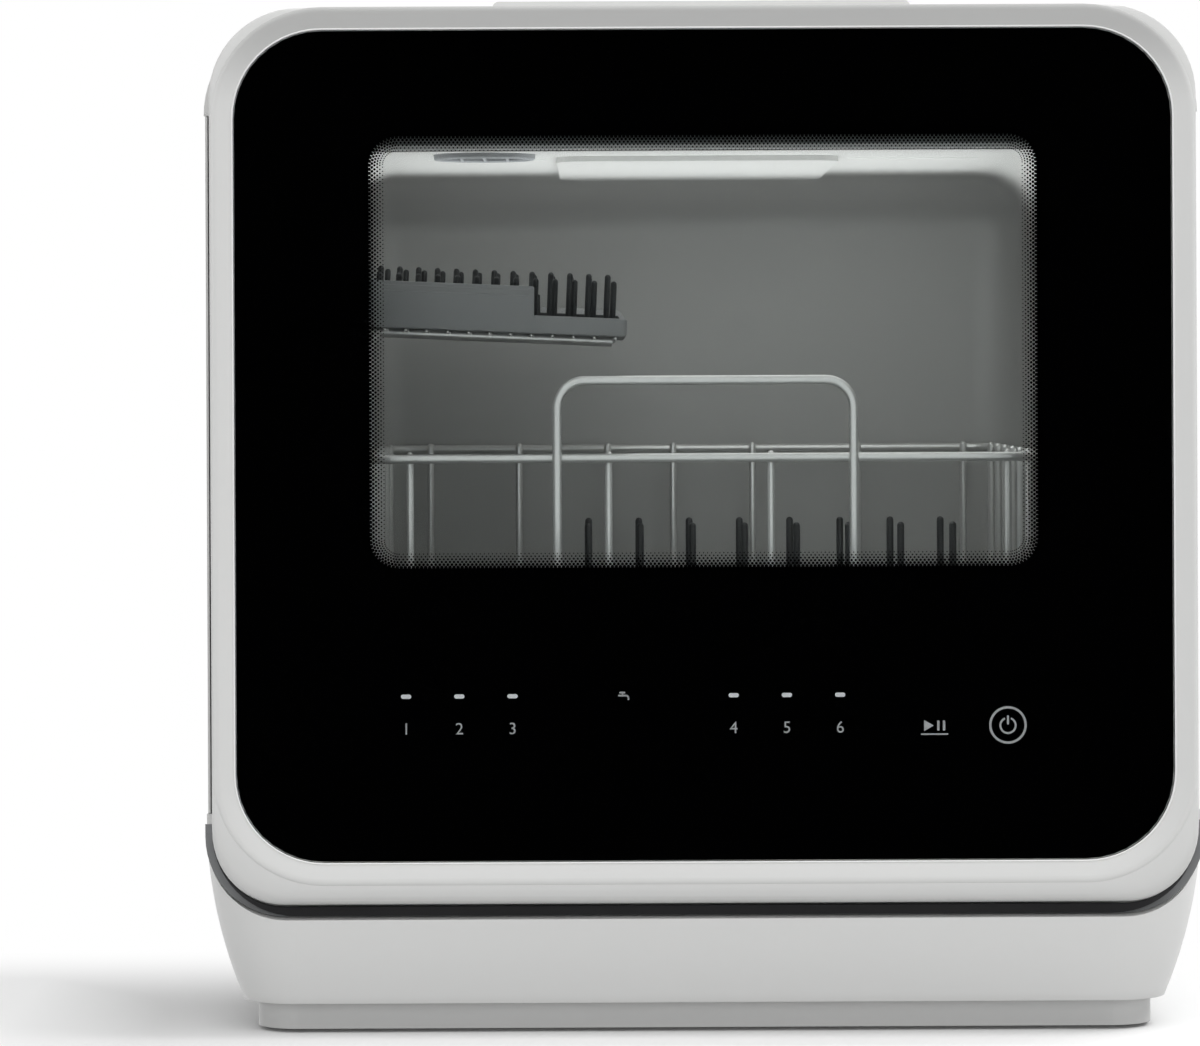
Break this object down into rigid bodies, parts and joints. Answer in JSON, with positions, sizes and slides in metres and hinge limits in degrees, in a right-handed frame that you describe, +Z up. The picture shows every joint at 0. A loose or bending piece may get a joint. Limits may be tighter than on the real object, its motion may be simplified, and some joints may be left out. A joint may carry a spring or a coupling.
{
  "type": "countertop dishwasher",
  "caption": "Compact white countertop dishwasher with a drop-down glass door, a window into a steel tub, a wire rack, a cutlery tray and a top filler for its water tank.",
  "frame": {"origin": "under the middle of the machine, on the surface that it stands on", "axes": "+Z up, -Y out of the door, +X to the right as seen from the front"},
  "size_m": [0.424, 0.435, 0.435],
  "materials": {
    "white_plastic": "satin white",
    "white_steel": "satin white",
    "grey_plastic": "matt",
    "tray_plastic": "matt",
    "black_plastic": "matt",
    "black_print": "gloss black print",
    "tank_plastic": "translucent",
    "light_plastic": "frosted",
    "board": "satin green",
    "stainless": "satin",
    "rack_wire": "satin",
    "rubber": "matt",
    "clear_glass": "clear"
  },
  "bodies": {
    "cabinet": {"base_housing": "white_plastic", "front_frame": "white_plastic", "side_panel_left": "white_steel", "side_panel_right": "white_steel", "top_cover": "white_plastic", "back_panel": "grey_plastic", "feet": "rubber", "cabinet_screws": "stainless", "tub": "stainless", "vent_grille": "grey_plastic", "door_gasket": "rubber", "rack_rails": "grey_plastic", "sump": "grey_plastic", "filter_plate": "stainless", "filter_cup": "grey_plastic", "spray_riser": "grey_plastic", "heater": "stainless", "wash_pump": "grey_plastic", "wash_hose": "rubber", "drain_pump": "grey_plastic", "drain_hose": "rubber", "water_tank": "tank_plastic", "fill_funnel": "white_plastic", "inlet_valve": "white_plastic", "drain_spigot": "black_plastic", "cord_gland": "black_plastic", "control_board": "board", "fan_housing": "grey_plastic", "latch_housing": "black_plastic", "hinge_brackets": "stainless"},
    "door": {"door_shell": "white_plastic", "door_bezel": "white_plastic", "door_glass": "clear_glass", "window_mask": "black_print", "door_liner": "stainless", "inner_glass": "clear_glass", "window_seal": "rubber", "touch_board": "board", "light_guides": "light_plastic", "grip_lip": "white_plastic", "door_striker": "stainless", "hinge_plates": "stainless", "hinge_pins": "stainless", "dispenser": "grey_plastic", "door_screws": "stainless"},
    "rack": {"rack_frame": "rack_wire", "rack_basket": "rack_wire", "plate_tines": "rack_wire", "cutlery_tray": "tray_plastic"},
    "dispenser_lid_body": {"dispenser_lid": "grey_plastic"},
    "rinse_cap_body": {"rinse_cap": "grey_plastic"},
    "rack_wheels_front_body": {"rack_wheels_front": "grey_plastic"},
    "rack_wheels_rear_body": {"rack_wheels_rear": "grey_plastic"},
    "spray_arm_body": {"spray_arm": "grey_plastic"},
    "fill_lid_body": {"fill_lid": "white_plastic"},
    "latch_bolt_body": {"latch_bolt": "stainless"},
    "float_cap_body": {"float_cap": "white_plastic"},
    "fan_rotor_body": {"fan_rotor": "black_plastic"},
    "wash_impeller_body": {"wash_impeller": "white_plastic"},
    "drain_impeller_body": {"drain_impeller": "white_plastic"}
  },
  "joints": [
    {"name": "door_hinge", "type": "hinge", "parent": "cabinet", "child": "door", "pos_m": [0, -0.208, 0.065], "axis": [1, 0, 0], "range_deg": [0, 90]},
    {"name": "rack_slide", "type": "slide", "parent": "cabinet", "child": "rack", "axis": [0, -1, 0], "range_m": [0, 0.132]},
    {"name": "front_wheels_roll", "type": "hinge", "parent": "rack", "child": "rack_wheels_front_body", "pos_m": [0, -0.03, 0.1263], "axis": [1, 0, 0], "range_deg": [0, 757]},
    {"name": "rear_wheels_roll", "type": "hinge", "parent": "rack", "child": "rack_wheels_rear_body", "pos_m": [0, 0.088, 0.1263], "axis": [1, 0, 0], "range_deg": [0, 757]},
    {"name": "spray_arm_spin", "type": "hinge", "parent": "cabinet", "child": "spray_arm_body", "pos_m": [0, -0.02075, 0.115], "axis": [0, 0, 1], "continuous": true},
    {"name": "filler_lid_hinge", "type": "hinge", "parent": "cabinet", "child": "fill_lid_body", "pos_m": [-0.11, 0.2065, 0.4326], "axis": [-1, 0, 0], "range_deg": [0, 110]},
    {"name": "dispenser_lid_slide", "type": "slide", "parent": "door", "child": "dispenser_lid_body", "axis": [-1, 0, 0], "range_m": [0, 0.052]},
    {"name": "rinse_cap_turn", "type": "hinge", "parent": "door", "child": "rinse_cap_body", "pos_m": [0.11, -0.182, 0.151], "axis": [0, -1, 0], "range_deg": [0, 90]},
    {"name": "latch_bolt_slide", "type": "slide", "parent": "cabinet", "child": "latch_bolt_body", "axis": [0, 0, 1], "range_m": [0, 0.004], "stiffness_N_per_m": 300, "springref_m": -0.003},
    {"name": "float_rise", "type": "slide", "parent": "cabinet", "child": "float_cap_body", "axis": [0, 0, 1], "range_m": [0, 0.008]},
    {"name": "fan_spin", "type": "hinge", "parent": "cabinet", "child": "fan_rotor_body", "pos_m": [-0.093, -0.125, 0.39], "axis": [0, 0, 1], "continuous": true},
    {"name": "wash_impeller_spin", "type": "hinge", "parent": "cabinet", "child": "wash_impeller_body", "pos_m": [0.08, -0.02075, 0.066], "axis": [1, 0, 0], "continuous": true},
    {"name": "drain_impeller_spin", "type": "hinge", "parent": "cabinet", "child": "drain_impeller_body", "pos_m": [-0.08, -0.00075, 0.072], "axis": [1, 0, 0], "continuous": true}
  ],
  "couplings": [
    {"joint": "rack_slide", "follows": "door_hinge", "m_per_rad": 0.084},
    {"joint": "front_wheels_roll", "follows": "door_hinge", "ratio": 8.4},
    {"joint": "rear_wheels_roll", "follows": "door_hinge", "ratio": 8.4}
  ]
}
